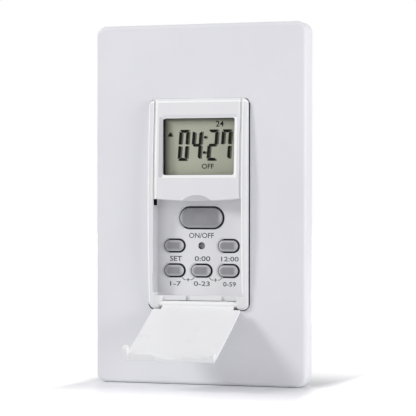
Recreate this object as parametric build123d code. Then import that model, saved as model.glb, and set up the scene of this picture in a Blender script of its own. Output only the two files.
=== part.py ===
from build123d import *
import math
import os

# Seven-day timer light switch in a screwless wall plate.
# Sizes are in millimetres. X runs to the right, Z up, and the front faces -Y.
# The origin is on the wall's surface, at the middle of the switch.

# Shared fits
overrun = 5.0            # how far a cut runs past the solid it cuts
slide_gap = 0.25         # a moving piece in its hole
seat_gap = 0.1           # a fixed piece in its pocket
bore_gap = 0.08          # a pin or a screw in its bore
stop_gap = 0.05          # what is left between a piece and its stop

# The switch itself, whose size sets the places of all that goes round it
device_width = 33.0
device_height = 66.5
device_corner = 2.0
device_round = 0.9
rise_at_ends = 1.3       # how far the face stands out of the plate at its top and bottom
rise_at_middle = 2.9     # and at mid height
flange_side = 5.0
flange_end = 1.95
flange_width = device_width + 2 * flange_side
flange_height = device_height + 2 * flange_end
flange_corner = 3.0
flange_thickness = 2.2

# Rear housing
rear_end = 0.25
rear_width = flange_width
rear_height = device_height + 2 * rear_end
rear_depth = 30.0
rear_wall = 1.8
rear_corner = 3.0
rear_edge = 1.2
post_radius = 2.6
rear_rib_thickness = 1.6
rear_rib_width = 3.0
rear_rib_margin = 18.5
rear_rib_place = rear_height / 2 - rear_rib_margin
lead_hole_radius = 1.8
lead_hole_side_margin = 12.5
lead_hole_end_margin = 8.0
lead_hole_side = rear_width / 2 - lead_hole_side_margin
lead_hole_row = lead_hole_end_margin - rear_height / 2
lead_hole_places = [(-lead_hole_side, lead_hole_row), (0, lead_hole_row), (lead_hole_side, lead_hole_row)]
lead_collar_wall = 1.0
lead_collar_height = 0.8
rear_groove_count = 5
rear_groove_pitch = 5.0
rear_groove_width = 1.2
rear_groove_depth = 0.6
rear_groove_length = 26.0
rear_groove_margin = 19.5
rear_groove_middle = rear_height / 2 - rear_groove_margin

# Screw places, which come to a wall box's standard 83.34 and 96.84 with this switch
box_screw_margin = 8.17
plate_screw_step = 6.75
box_screw_spacing = rear_height + 2 * box_screw_margin
plate_screw_spacing = box_screw_spacing + 2 * plate_screw_step

# Wall plate
plate_width = 69.85
plate_end_margin = 8.73
plate_height = plate_screw_spacing + 2 * plate_end_margin
plate_thickness = 7.5
plate_corner = 3.2
plate_edge_round = 1.2
plate_wall = 2.0
plate_face = 2.2
opening_side_gap = 0.2
opening_end_gap = 0.25
opening_width = device_width + 2 * opening_side_gap
opening_height = device_height + 2 * opening_end_gap
opening_corner = 2.2
opening_bevel = 0.15
collar_wall = 1.2
collar_gap = 0.2
plate_rib_wall = 1.2
plate_rib_place = 28.0
plate_rib_margin = 12.15
plate_rib_length = plate_height - 2 * plate_rib_margin
cross_rib_step = 0.83
cross_rib_place = box_screw_spacing / 2 + cross_rib_step
snap_width = 7.0
snap_wall = 1.2
snap_place = 20.0
snap_inset = 0.75
snap_hook = 0.8
snap_hook_height = 0.85
pry_slot_width = 6.0
pry_slot_height = 1.2

# Sub-plate that the wall plate snaps onto
frame_sheet = 1.6
frame_edge_gap = 0.45
frame_corner = 2.0
frame_rim = 1.2
frame_window_side = 0.5
frame_window_end = 0.8
frame_window_width = flange_width + 2 * frame_window_side
frame_window_height = flange_height + 2 * frame_window_end
frame_neck_width = 24.0
frame_neck_margin = 3.63
frame_neck_height = box_screw_spacing + 2 * frame_neck_margin
frame_notch_depth = 1.8
frame_notch_gap = 0.5

# Mounting strap
strap_thickness = 1.3
strap_body_end = 4.5
strap_body_width = flange_width
strap_body_height = rear_height + 2 * strap_body_end
strap_body_corner = 3.0
strap_tongue_width = 22.0
strap_end_margin = 4.78
strap_height = plate_screw_spacing + 2 * strap_end_margin
strap_ear_width = 33.0
strap_ear_height = 9.6
strap_ear_corner = 3.5
strap_window_side = 1.3
strap_window_end = 0.55
strap_window_width = device_width - 2 * strap_window_side
strap_window_height = device_height - 2 * strap_window_end
box_slot_length = 6.4
box_slot_width = 4.2
break_line_width = 1.0
break_line_length = 5.0

# Screws
box_screw_radius = 1.75
box_screw_neck = 1.4
box_screw_neck_length = 0.5
box_screw_length = 22.0
box_head_radius = 3.3
box_head_height = 1.9
washer_radius = 4.0
washer_thickness = 0.4
plate_screw_radius = 1.7
plate_screw_length = 6.0
plate_head_radius = 2.8
plate_head_height = 1.7
drive_slot_width = 0.9
drive_slot_depth = 0.9
ground_screw_side = 7.8
ground_screw_step = 1.07
ground_screw_place = (-ground_screw_side, ground_screw_step - box_screw_spacing / 2)
ground_screw_radius = 2.0
ground_screw_length = 5.0
ground_head_across = 6.4
ground_head_height = 1.9
housing_screw_radius = 1.2
housing_head_radius = 2.2
housing_head_height = 1.8
housing_screw_margin = 2.5
housing_screw_place = (rear_width / 2 - housing_screw_margin, rear_height / 2 - housing_screw_margin)
board_screw_radius = 0.8
board_head_radius = 1.4
board_head_height = 0.7
board_screw_length = 3.4

# Depths in the switch, from the front of its curved face at mid height
plate_front = -plate_thickness
crown_middle = plate_front - rise_at_middle
deck_depth = 3.2
floor_depth = 5.5
axis_depth = 2.5
sill_depth = 2.9
latch_front_depth = 1.3
latch_back_depth = 4.7
deck_front = crown_middle + deck_depth
floor_front = crown_middle + floor_depth
axis_y = crown_middle + axis_depth
sill_front = crown_middle + sill_depth
latch_slot_front = crown_middle + latch_front_depth
latch_slot_back = crown_middle + latch_back_depth

# Front housing of the switch
rail_width = 1.8
bay_half_width = device_width / 2 - rail_width
deck_thickness = 1.5
floor_thickness = 1.2
inner_side_wall = 1.6
inner_end_wall = 0.85
inner_sill_wall = 0.9
recess_end = 4.25
step_place = 2.2
step_wall = 1.2
recess_bottom = recess_end - device_height / 2
inner_half_width = device_width / 2 - inner_side_wall
inner_top = device_height / 2 - inner_end_wall
inner_bottom = recess_bottom - inner_sill_wall
boss_radius = 1.45
boss_side_margin = 3.9
boss_end_margin = 1.3
boss_step_margin = 2.5
boss_side = inner_half_width - boss_side_margin
boss_top = inner_top - boss_end_margin
boss_low = step_place + boss_step_margin
boss_bottom = recess_bottom + boss_end_margin
boss_places = [(side * boss_side, z) for z in (boss_top, boss_low, boss_bottom) for side in (-1, 1)]

# Hinge of the door
hinge_end = 1.65
axis_z = hinge_end - device_height / 2
barrel_radius = 0.95
barrel_clearance = 1.15
pin_radius = 0.8
pin_length = 1.8
ear_width = 4.4
ear_round = 2.0
hinge_half_width = device_width / 2 - ear_width
sill_height = 1.45
sill_bottom = recess_bottom - sill_height
left_notch_place = -3.75
right_notch_margin = 3.95
sill_notch_places = [left_notch_place, hinge_half_width - right_notch_margin]
sill_notch_width = 1.4
sill_notch_depth = 0.7
heel_margin = 4.1
heel_places = [heel_margin - hinge_half_width, hinge_half_width - heel_margin]
heel_width = 2.0
heel_wall = 0.8
heel_reach = 1.8

# Door
open_angle = 115.0
door_gap = 0.3
door_skin = 0.95
door_bottom = recess_bottom + door_gap
door_round = 0.3
door_lip_width = 9.4
door_lip_height = 0.8
end_wall = 1.0
end_wall_height = 1.4
low_wall_height = 0.6
end_dip_place = 0.8
end_dip_width = 14.0
end_dip_depth = 1.25
post_width = 1.4
post_length = 2.2
left_post_height = 3.6
right_post_height = 1.8
latch_nub = 0.2
latch_nub_height = 1.0
latch_slot_length = 2.0
latch_slot_margin = 0.6
latch_slot_top = step_place - latch_slot_margin
latch_slot_bottom = latch_slot_top - latch_slot_length
latch_slot_depth = 1.3

# Display panel
panel_side = 0.7
panel_step = 0.55
panel_width = 2 * (bay_half_width - panel_side)
panel_middle_drop = 1.25
panel_side_drop = 0.5
panel_edge_middle = step_place - panel_middle_drop
panel_edge_sides = step_place - panel_side_drop
panel_round = 0.35
scoop_side = 0.35
scoop_width = door_lip_width + 2 * scoop_side
scoop_height = 1.95
scoop_depth = 2.7
window_side = 2.1
window_shift = 0.4
window_lift = 0.3
window_width = panel_width - 2 * window_side
window_place = (boss_top + boss_low) / 2 + window_lift
window_middle = (window_shift, window_place)
window_corner = 0.7
window_bevel = 1.0
stake_side = 6.0
stake_end_margin = 1.2
stake_top = inner_top - stake_end_margin
stake_places = [(-stake_side, stake_top), (stake_side, stake_top), (-stake_side, boss_low),
                (stake_side, boss_low)]
stake_radius = 0.8

# Display
lcd_setback = 0.1
lcd_border_side = 1.3
lcd_border_end = 1.3
lcd_glass_thickness = 1.2
lcd_opening_gap = 0.25
lcd_frame_wall = 0.9
lcd_boss_gap = 0.15
lcd_top = boss_top - boss_radius - lcd_boss_gap - lcd_frame_wall - seat_gap
lcd_width = window_width + 2 * lcd_border_side
lcd_height = 2 * (lcd_top - window_place)
window_height = lcd_height - 2 * lcd_border_end
lens_side = 0.4
lens_end = 0.2
lens_width = lcd_width - 2 * lens_side
lens_height = lcd_height - 2 * lens_end
lens_thickness = 0.8
lens_corner = 0.8
zebra_side = 1.2
zebra_width = lcd_width - 2 * zebra_side
zebra_height = 1.5
zebra_edge = 0.3

# Keys and their mat
key_rise = 0.8
reset_sink = 0.8
key_top = floor_front - key_rise
reset_top = floor_front + reset_sink
key_round = 0.9
key_flange = 0.6
key_flange_thickness = 0.55
key_travel = 0.7
key_gap_top = 3.22
key_gap_upper = 3.705
key_gap_lower = 4.15
key_gap_bottom = 6.025
big_key_extra = 2.85
key_space = step_place - recess_bottom - key_gap_top - key_gap_upper - key_gap_lower - key_gap_bottom
small_key_height = (key_space - big_key_extra) / 3
big_key_height = small_key_height + big_key_extra
big_key_place = step_place - key_gap_top - big_key_height / 2
key_row_upper = big_key_place - big_key_height / 2 - key_gap_upper - small_key_height / 2
key_row_lower = key_row_upper - small_key_height - key_gap_lower
key_side_margin = 2.375
key_column_gap = 2.35
big_key_margin = 1.775
small_key_width = 2 * (bay_half_width - key_side_margin - key_column_gap) / 3
key_column = small_key_width + key_column_gap
big_key_width = 2 * (key_column - big_key_margin)
reset_radius = 0.95
reset_flange = 0.7
reset_round = 0.2
mat_side = 0.8
mat_top_margin = 1.3
mat_bottom_margin = 2.15
mat_half_width = bay_half_width - mat_side
mat_top = step_place - mat_top_margin
mat_bottom = key_row_lower - small_key_height / 2 - mat_bottom_margin
mat_corner = 1.5
mat_gap = 0.1

# Boards
board_thickness = 1.6
display_board_side = 0.3
display_board_end = 0.2
display_board_half_width = inner_half_width - display_board_side
display_board_top = inner_top - display_board_end
display_board_bottom = inner_bottom + display_board_end
chip_side = 10.0
chip_height = 1.4
chip_leg_reach = 1.0
chip_leg_height = 0.4
chip_drop = 1.2
chip_place = (0, window_place - chip_drop)
crystal_radius = 1.0
crystal_length = 6.0
crystal_lift = 3.8
crystal_place = (0, step_place + crystal_lift)
header_width = 20.3
header_depth = 2.5
header_lift = 1.0
header_place = (0, key_row_lower + header_lift)
sheet_front = 2.2
sheet_thickness = 0.4

# Power board and what stands on it
power_board_front = 10.0
power_board_back = power_board_front + board_thickness
power_board_gap = 0.4
post_notch_gap = 0.5
rear_inside = rear_depth - rear_wall
component_room = rear_inside - power_board_back
power_screw_side_margin = 5.9
power_screw_end_margin = 6.5
power_screw_side = rear_width / 2 - power_screw_side_margin
power_screw_end = rear_height / 2 - power_screw_end_margin
power_screw_places = [(power_screw_side, power_screw_end), (-power_screw_side, -power_screw_end)]
power_boss_radius = 2.4
power_screw_radius = 1.1
power_head_radius = 2.1
power_head_height = 1.3
power_screw_length = 7.0
relay_headroom = 1.6
relay_side_margin = 11.9
relay_end_margin = 9.3
relay_width = 12.6
relay_low = -4.2
relay_top = rear_height / 2 - relay_end_margin
relay_size = (relay_width, component_room - relay_headroom, relay_top - relay_low)
relay_place = (relay_side_margin - rear_width / 2, (relay_top + relay_low) / 2)
film_headroom = 3.1
film_end_margin = 10.5
film_width = 8.5
film_low = 5.0
film_top = rear_height / 2 - film_end_margin
film_size = (film_width, component_room - film_headroom, film_top - film_low)
film_place = (7.6, (film_top + film_low) / 2)
main_cap_radius = 4.0
main_cap_headroom = 3.6
main_cap_height = component_room - main_cap_headroom
main_cap_place = (7.6, -1.0)
small_cap_radius = 3.1
small_cap_headroom = 5.6
small_cap_height = component_room - small_cap_headroom
small_cap_side_margin = 7.3
small_cap_place = (rear_width / 2 - small_cap_side_margin, -11.0)
cap_round = 0.5
varistor_radius = 5.0
varistor_thickness = 4.0
varistor_place = (-9.0, -11.5)
lead_radius = 0.4
lead_spread = 2.5
lead_rise = 0.9
choke_radius = 4.4
choke_headroom = 7.6
choke_height = component_room - choke_headroom
choke_core_radius = 2.6
choke_rim = 1.2
choke_lift = 10.5
choke_place = (2.2, lead_hole_row + choke_lift)
terminal_side = 4.4
terminal_headroom = 7.6
terminal_height = component_room - terminal_headroom
terminal_bore = 1.4
holder_wall = 1.2
holder_base = 1.2
holder_gap = 0.2
cell_radius = 5.8
cell_clearance = 0.8
cell_height = power_board_front - holder_base - cell_clearance - sheet_front - sheet_thickness
cell_end_margin = 19.5
cell_place = (8.0, rear_height / 2 - cell_end_margin)
component_round = 0.6

# Worked-out places
plate_inside = plate_front + plate_face
strap_front = -strap_thickness
frame_front = strap_front - frame_sheet
flange_front = strap_front - flange_thickness
crown_sagitta = rise_at_middle - rise_at_ends
crown_radius = ((device_height / 2) ** 2 + crown_sagitta ** 2) / (2 * crown_sagitta)
deck_back = deck_front + deck_thickness
floor_back = floor_front + floor_thickness
lcd_front = deck_front + lcd_setback
lcd_back = lcd_front + 2 * lcd_glass_thickness
lens_front = lcd_front - lens_thickness
key_back = floor_back + key_flange_thickness
display_board_front = key_back + key_travel + stop_gap
display_board_back = display_board_front + board_thickness
frame_width = plate_width - 2 * (plate_wall + frame_edge_gap)
frame_height = plate_height - 2 * (plate_wall + frame_edge_gap)
barrel_half_width = hinge_half_width - door_gap
door_half_width = bay_half_width - door_gap

key_places = {
    "prog_key": (-key_column, key_row_upper),
    "clock_key": (key_column, key_row_upper),
    "day_key": (-key_column, key_row_lower),
    "hour_key": (0, key_row_lower),
    "minute_key": (key_column, key_row_lower),
}


def sheet(outline, front, back):
    """A flat outline, drawn as seen from the front, made solid between two depths."""
    return extrude(Plane.XZ.offset(-back) * outline, amount=back - front)


def block(left, right, front, back, bottom, top):
    middle = Pos((left + right) / 2, (front + back) / 2, (bottom + top) / 2)
    return middle * Box(right - left, back - front, top - bottom)


def rod(radius, front, back, x=0, z=0):
    """A round bar that runs from front to back."""
    return sheet(Pos(x, z) * Circle(radius), front, back)


def cross_rod(radius, left, right, y, z):
    """A round bar that runs from left to right."""
    return Pos((left + right) / 2, y, z) * Rot(0, 90, 0) * Cylinder(radius, right - left)


def corners(x, z):
    return [(-x, z), (x, z), (-x, -z), (x, -z)]


def crown_depth(z):
    """Depth of the curved face of the switch at one height."""
    return crown_middle + crown_radius - math.sqrt(crown_radius ** 2 - z ** 2)


def crowned(outline, back, inset=0):
    """An outline made solid from a flat back to the curved face, or to a skin's inside."""
    reach = device_height / 2 + overrun
    edge = crown_depth(reach) + inset
    arc = ThreePointArc((edge, -reach), (crown_middle + inset, 0), (edge, reach))
    rear = Polyline((edge, reach), (back, reach), (back, -reach), (edge, -reach))
    profile = make_face([arc, rear])
    curve = extrude(Plane.YZ * profile, amount=device_width, both=True)
    return curve & sheet(outline, crown_middle - overrun, back)


def front_edges(solid):
    """The edges all round a solid's curved face."""
    return solid.faces().sort_by(Axis.Y)[0].edges()


def slotted_head(radius, height, front, x=0, z=0):
    head = rod(radius, front, front + height, x, z)
    rounded = fillet(head.faces().sort_by(Axis.Y)[0].edges(), height / 3)
    half = drive_slot_width / 2
    slot = block(x - radius - overrun, x + radius + overrun, front - overrun, front + drive_slot_depth,
                 z - half, z + half)
    return rounded - slot


def cross_head(radius, height, back, x=0, z=0):
    """A screw head on a piece's rear side, with a cross recess."""
    head = rod(radius, back - height, back, x, z)
    rounded = fillet(head.faces().sort_by(Axis.Y)[-1].edges(), height / 3)
    long = radius / 2
    thin = radius / 6
    recess = block(x - long, x + long, back - height / 2, back + overrun, z - thin, z + thin)
    recess += block(x - thin, x + thin, back - height / 2, back + overrun, z - long, z + long)
    return rounded - recess


def wall_plate():
    outline = RectangleRounded(plate_width, plate_height, plate_corner)
    shell = sheet(outline, plate_front, 0)
    shell = fillet(shell.faces().sort_by(Axis.Y)[0].edges(), plate_edge_round)
    inner_corner = plate_corner - plate_wall
    hollow = RectangleRounded(plate_width - 2 * plate_wall, plate_height - 2 * plate_wall, inner_corner)
    shell -= sheet(hollow, plate_inside, overrun)
    # Collar round the opening, stiffening ribs and snap arms
    collar_back = flange_front - collar_gap
    collar = RectangleRounded(opening_width + 2 * collar_wall, opening_height + 2 * collar_wall,
                              opening_corner + collar_wall)
    shell += sheet(collar, plate_inside, collar_back)
    for side in (-1, 1):
        rib = Pos(side * plate_rib_place, 0) * Rectangle(plate_rib_wall, plate_rib_length)
        shell += sheet(rib, plate_inside, frame_front)
        cross = Pos(0, side * cross_rib_place) * Rectangle(2 * plate_rib_place, plate_rib_wall)
        shell += sheet(cross, plate_inside, strap_front - box_head_height - slide_gap)
    arm_outer = plate_height / 2 - plate_wall - snap_inset
    arm_inner = arm_outer - snap_wall
    hook_front = strap_front + seat_gap
    for x in (-snap_place, snap_place):
        for side in (-1, 1):
            low, high = sorted((side * arm_inner, side * arm_outer))
            shell += block(x - snap_width / 2, x + snap_width / 2, plate_inside,
                           hook_front + snap_hook_height, low, high)
            low, high = sorted((side * (arm_inner - snap_hook), side * arm_inner))
            shell += block(x - snap_width / 2, x + snap_width / 2, hook_front,
                           hook_front + snap_hook_height, low, high)
    opening = RectangleRounded(opening_width, opening_height, opening_corner)
    shell -= sheet(opening, plate_front - overrun, overrun)
    rim = shell.faces().sort_by(Axis.Y)[0].edges().filter_by(on_opening)
    shell = chamfer(rim, opening_bevel)
    shell -= block(-pry_slot_width / 2, pry_slot_width / 2, -pry_slot_height, overrun,
                   -plate_height / 2 - overrun, -plate_height / 2 + plate_wall + overrun / 2)
    return shell


def on_opening(edge):
    place = edge.center()
    return abs(place.X) < opening_width / 2 + plate_wall and abs(place.Z) < opening_height / 2 + plate_wall


def plate_frame():
    panel = sheet(RectangleRounded(frame_width, frame_height, frame_corner), frame_front, 0)
    hollow = RectangleRounded(frame_width - 2 * frame_rim, frame_height - 2 * frame_rim,
                              frame_corner - frame_rim)
    panel -= sheet(hollow, strap_front, overrun)
    window = Rectangle(frame_window_width, frame_window_height)
    window += Rectangle(frame_neck_width, frame_neck_height)
    panel -= sheet(window, frame_front - overrun, overrun)
    for side in (-1, 1):
        panel -= rod(plate_screw_radius + bore_gap, frame_front - overrun, overrun,
                     z=side * plate_screw_spacing / 2)
        edge = side * frame_height / 2
        for x in (-snap_place, snap_place):
            notch = Pos(x, edge) * Rectangle(snap_width + 2 * frame_notch_gap, 2 * frame_notch_depth)
            panel -= sheet(notch, frame_front - overrun, overrun)
    return panel


def plate_screws():
    screws = []
    for side in (-1, 1):
        z = side * plate_screw_spacing / 2
        head = slotted_head(plate_head_radius, plate_head_height, frame_front - plate_head_height, z=z)
        screws.append(head + rod(plate_screw_radius, frame_front, frame_front + plate_screw_length, z=z))
    return Compound(screws)


def mounting_strap():
    outline = RectangleRounded(strap_body_width, strap_body_height, strap_body_corner)
    outline += Rectangle(strap_tongue_width, strap_height - strap_ear_height)
    ear_middle = (strap_height - strap_ear_height) / 2
    for side in (-1, 1):
        ear = RectangleRounded(strap_ear_width, strap_ear_height, strap_ear_corner)
        outline += Pos(0, side * ear_middle) * ear
    outline -= Rectangle(strap_window_width, strap_window_height)
    for side in (-1, 1):
        slot = SlotOverall(box_slot_length, box_slot_width)
        outline -= Pos(0, side * box_screw_spacing / 2) * slot
        outline -= Pos(0, side * plate_screw_spacing / 2) * Circle(plate_screw_radius + bore_gap)
        for x in (-strap_tongue_width / 2, strap_tongue_width / 2):
            line = Rectangle(break_line_width, break_line_length)
            outline -= Pos(x + math.copysign(break_line_width, x), side * ear_middle) * line
    for x, z in corners(*housing_screw_place):
        outline -= Pos(x, z) * Circle(housing_screw_radius + bore_gap)
    outline -= Pos(*ground_screw_place) * Circle(ground_screw_radius + bore_gap)
    return sheet(outline, strap_front, 0)


def box_screws():
    screws = []
    for side in (-1, 1):
        z = side * box_screw_spacing / 2
        screw = slotted_head(box_head_radius, box_head_height, strap_front - box_head_height, z=z)
        screw += rod(box_screw_neck, strap_front, box_screw_neck_length, z=z)
        thread = rod(box_screw_radius, box_screw_neck_length, box_screw_length, z=z)
        tip = thread.faces().sort_by(Axis.Y)[-1].edges()
        screws.append(screw + chamfer(tip, (box_screw_radius - box_screw_neck)))
    return Compound(screws)


def screw_washers():
    washers = []
    for side in (-1, 1):
        z = side * box_screw_spacing / 2
        hole = rod(box_screw_neck + bore_gap / 2, -overrun, overrun, z=z)
        washers.append(rod(washer_radius, 0, washer_thickness, z=z) - hole)
    return Compound(washers)


def ground_screw():
    x, z = ground_screw_place
    head_front = strap_front - ground_head_height
    hexagon = RegularPolygon(ground_head_across / 2, 6, major_radius=False)
    head = sheet(Pos(x, z) * hexagon, head_front, strap_front)
    half = drive_slot_width / 2
    head -= block(x - ground_head_across, x + ground_head_across, head_front - overrun,
                  head_front + drive_slot_depth, z - half, z + half)
    return head + rod(ground_screw_radius, strap_front, strap_front + ground_screw_length, x, z)


def device_form(back):
    """The whole front of the switch, with its edge rounded, down to a flat back."""
    body = crowned(RectangleRounded(device_width, device_height, device_corner), back)
    return fillet(front_edges(body), device_round)


def front_housing():
    body = device_form(strap_front)
    body += sheet(RectangleRounded(flange_width, flange_height, flange_corner), flange_front, strap_front)
    far = crown_middle - overrun
    top = device_height / 2 + overrun
    bay = bay_half_width
    # Seat of the display panel, keypad recess and hinge bay
    body -= block(-bay, bay, far, deck_front, step_place, top)
    body -= block(-bay, bay, far, floor_front, recess_bottom, step_place)
    body -= block(-hinge_half_width, hinge_half_width, far, sill_front, -top, recess_bottom)
    hinge_back = axis_y + barrel_radius + barrel_clearance
    body -= block(-hinge_half_width, hinge_half_width, far, hinge_back, -device_height / 2 - seat_gap,
                  sill_bottom)
    for x in sill_notch_places:
        half = sill_notch_width / 2
        body -= block(x - half, x + half, far, sill_front + sill_notch_depth, sill_bottom, recess_bottom)
    ear_edges = body.edges().filter_by(Axis.Y).filter_by(on_ear_corner)
    body = fillet(ear_edges, ear_round)
    for side in (-1, 1):
        inner = side * hinge_half_width
        outer = side * (hinge_half_width + pin_length + slide_gap)
        body -= cross_rod(pin_radius + bore_gap, min(inner, outer), max(inner, outer), axis_y, axis_z)
    # Hollow behind the deck and behind the recess floor
    inner = inner_half_width
    body -= block(-inner, inner, deck_back, overrun, step_place + step_wall, inner_top)
    body -= block(-inner, inner, floor_back, overrun, inner_bottom, inner_top)
    for x, z in boss_places:
        boss_front = deck_back if z > 0 else floor_back
        body += rod(boss_radius, boss_front, display_board_front, x, z)
    pilot_end = display_board_back - board_screw_length
    for x, z in boss_places:
        body -= rod(board_screw_radius + bore_gap / 2, pilot_end, overrun, x, z)
    lcd_hole = Rectangle(lcd_width + 2 * lcd_opening_gap, lcd_height + 2 * lcd_opening_gap)
    body -= sheet(Pos(*window_middle) * lcd_hole, far, deck_back + seat_gap)
    for x, z in stake_places:
        body -= rod(stake_radius + bore_gap, far, deck_back + seat_gap, x, z)
    # Holes for the keys, and the slot that the door's latch enters
    body -= sheet(key_holes(slide_gap), far, overrun)
    body -= block(-bay - latch_slot_depth, -bay + seat_gap, latch_slot_front, latch_slot_back,
                  latch_slot_bottom, latch_slot_top)
    for x, z in corners(*housing_screw_place):
        body -= rod(housing_screw_radius + bore_gap / 2, far, overrun, x, z)
    return body


def on_ear_corner(edge):
    place = edge.center()
    near_side = abs(abs(place.X) - hinge_half_width) < seat_gap
    return near_side and abs(place.Z + device_height / 2) < seat_gap


def big_key_outline(growth):
    return Pos(0, big_key_place) * SlotOverall(big_key_width + 2 * growth, big_key_height + 2 * growth)


def small_key_outline(place, growth):
    return Pos(*place) * SlotOverall(small_key_width + 2 * growth, small_key_height + 2 * growth)


def reset_outline(growth):
    return Pos(0, key_row_upper) * Circle(reset_radius + growth)


def key_holes(growth):
    holes = big_key_outline(growth) + reset_outline(min(growth, bore_gap + seat_gap))
    for place in key_places.values():
        holes += small_key_outline(place, growth)
    return holes


def key(cap, flange, top, rounding):
    body = sheet(cap, top, floor_back)
    body = fillet(body.faces().sort_by(Axis.Y)[0].edges(), rounding)
    return body + sheet(flange, floor_back, key_back)


def keypad_mat():
    height = mat_top - mat_bottom
    outline = Pos(0, (mat_top + mat_bottom) / 2) * RectangleRounded(2 * mat_half_width, height, mat_corner)
    outline -= big_key_outline(key_flange + mat_gap)
    outline -= reset_outline(reset_flange + mat_gap)
    for place in key_places.values():
        outline -= small_key_outline(place, key_flange + mat_gap)
    return sheet(outline, floor_back, display_board_front)


def panel_outline(edge_middle, edge_sides, width, top):
    half = width / 2
    lower = ThreePointArc((-half, edge_sides), (0, edge_middle), (half, edge_sides))
    rest = Polyline((half, edge_sides), (half, top), (-half, top), (-half, edge_sides))
    return make_face([lower, rest])


def scoop_outline():
    """The round finger scoop that the panel's lower edge cuts off."""
    radius = ((scoop_width / 2) ** 2 + scoop_height ** 2) / (2 * scoop_height)
    return Pos(0, panel_edge_middle + scoop_height - radius) * Circle(radius)


def display_panel():
    top = device_height / 2 + overrun
    outline = panel_outline(panel_edge_middle, panel_edge_sides, panel_width, top)
    panel = crowned(outline, deck_front)
    panel = fillet(front_edges(panel), panel_round)
    # A low step runs down both sides, and the top is rounded with the rest of the switch
    step_width = 2 * (bay_half_width - seat_gap)
    step = panel_outline(panel_edge_middle, panel_edge_sides, step_width, top)
    panel += crowned(step, deck_front, inset=panel_step)
    panel &= device_form(deck_front)
    panel -= sheet(scoop_outline(), crown_middle - overrun, crown_middle + scoop_depth)
    panel -= window_cut()
    lens_seat = RectangleRounded(lens_width + 2 * seat_gap, lens_height + 2 * seat_gap, lens_corner)
    panel -= sheet(Pos(*window_middle) * lens_seat, lens_front, overrun)
    for x, z in stake_places:
        panel += rod(stake_radius, deck_front, deck_back, x, z)
    return panel


def window_cut():
    """The display's window: straight walls, with a slope all round at its front."""
    face = crown_depth(window_place)
    hole = RectangleRounded(window_width, window_height, window_corner)
    cut = sheet(Pos(*window_middle) * hole, crown_middle - overrun, overrun)
    wide = RectangleRounded(window_width + 4 * window_bevel, window_height + 4 * window_bevel,
                            window_corner + 2 * window_bevel)
    # The slope starts a bevel's depth inside the face and runs on as far outside it, square to the face
    tilt = math.degrees(math.asin(window_place / crown_radius))
    centre = Pos(window_shift, face, window_place) * Rot(-tilt, 0, 0)
    inner = centre * Plane.XZ.offset(-window_bevel) * hole
    outer = centre * Plane.XZ.offset(window_bevel) * wide
    return cut + loft([inner, outer])


def lcd_window():
    outline = RectangleRounded(lens_width, lens_height, lens_corner)
    return sheet(Pos(*window_middle) * outline, lens_front, lcd_front)


def lcd_glass():
    front = Pos(*window_middle) * Rectangle(lcd_width, lcd_height)
    rear = Pos(*window_middle) * Rectangle(lcd_width - 2 * seat_gap, lcd_height - 2 * seat_gap)
    middle = lcd_front + lcd_glass_thickness
    return sheet(front, lcd_front, middle) + sheet(rear, middle, lcd_back)


def lcd_frame():
    wall = lcd_frame_wall + seat_gap
    outline = Rectangle(lcd_width + 2 * wall, lcd_height + 2 * wall)
    outline -= Rectangle(lcd_width + 2 * seat_gap, lcd_height + 2 * seat_gap)
    return sheet(Pos(*window_middle) * outline, deck_back, display_board_front)


def zebra_strips():
    strips = []
    for side in (-1, 1):
        z = window_place + side * (lcd_height / 2 - zebra_edge - zebra_height / 2)
        outline = Pos(window_shift, z) * Rectangle(zebra_width, zebra_height)
        strips.append(sheet(outline, lcd_back, display_board_front))
    return Compound(strips)


def display_board():
    height = display_board_top - display_board_bottom
    middle = (display_board_top + display_board_bottom) / 2
    outline = Pos(0, middle) * Rectangle(2 * display_board_half_width, height)
    for x, z in boss_places:
        outline -= Pos(x, z) * Circle(board_screw_radius + bore_gap)
    return sheet(outline, display_board_front, display_board_back)


def board_screws():
    screws = []
    for x, z in boss_places:
        head_back = display_board_back + board_head_height
        head = cross_head(board_head_radius, board_head_height, head_back, x, z)
        shank = rod(board_screw_radius, display_board_back - board_screw_length, display_board_back, x, z)
        screws.append(head + shank)
    return Compound(screws)


def controller_chip():
    x, z = chip_place
    back = display_board_back
    chip = sheet(Pos(x, z) * Rectangle(chip_side, chip_side), back, back + chip_height)
    reach = chip_side + 2 * chip_leg_reach
    legs = Pos(x, z) * Rectangle(reach, chip_side - 2 * chip_leg_reach)
    legs += Pos(x, z) * Rectangle(chip_side - 2 * chip_leg_reach, reach)
    return chip + sheet(legs, back, back + chip_leg_height)


def clock_crystal():
    x, z = crystal_place
    y = display_board_back + crystal_radius
    return cross_rod(crystal_radius, x - crystal_length / 2, x + crystal_length / 2, y, z)


def pin_header():
    body = Pos(*header_place) * Rectangle(header_width, header_depth)
    return sheet(body, display_board_back, power_board_front)


def post_notches(growth):
    """What a board leaves free round the rear housing's corner posts."""
    x, z = housing_screw_place
    notches = None
    for side_x, side_z in corners(1, 1):
        left = side_x * (x - post_radius - growth)
        low = side_z * (z - post_radius - growth)
        far_x = side_x * rear_width
        far_z = side_z * rear_height
        notch = Pos((left + far_x) / 2, (low + far_z) / 2) * Rectangle(abs(far_x - left), abs(far_z - low))
        notches = notch if notches is None else notches + notch
    return notches


def inner_board_outline(gap):
    width = rear_width - 2 * (rear_wall + gap)
    height = rear_height - 2 * (rear_wall + gap)
    return Rectangle(width, height) - post_notches(post_notch_gap)


def insulator_sheet():
    outline = inner_board_outline(power_board_gap)
    slot = Rectangle(header_width + 2 * slide_gap, header_depth + 2 * slide_gap)
    return sheet(outline - Pos(*header_place) * slot, sheet_front, sheet_front + sheet_thickness)


def power_board():
    outline = inner_board_outline(power_board_gap)
    for x, z in power_screw_places:
        outline -= Pos(x, z) * Circle(power_screw_radius + bore_gap)
    return sheet(outline, power_board_front, power_board_back)


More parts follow.
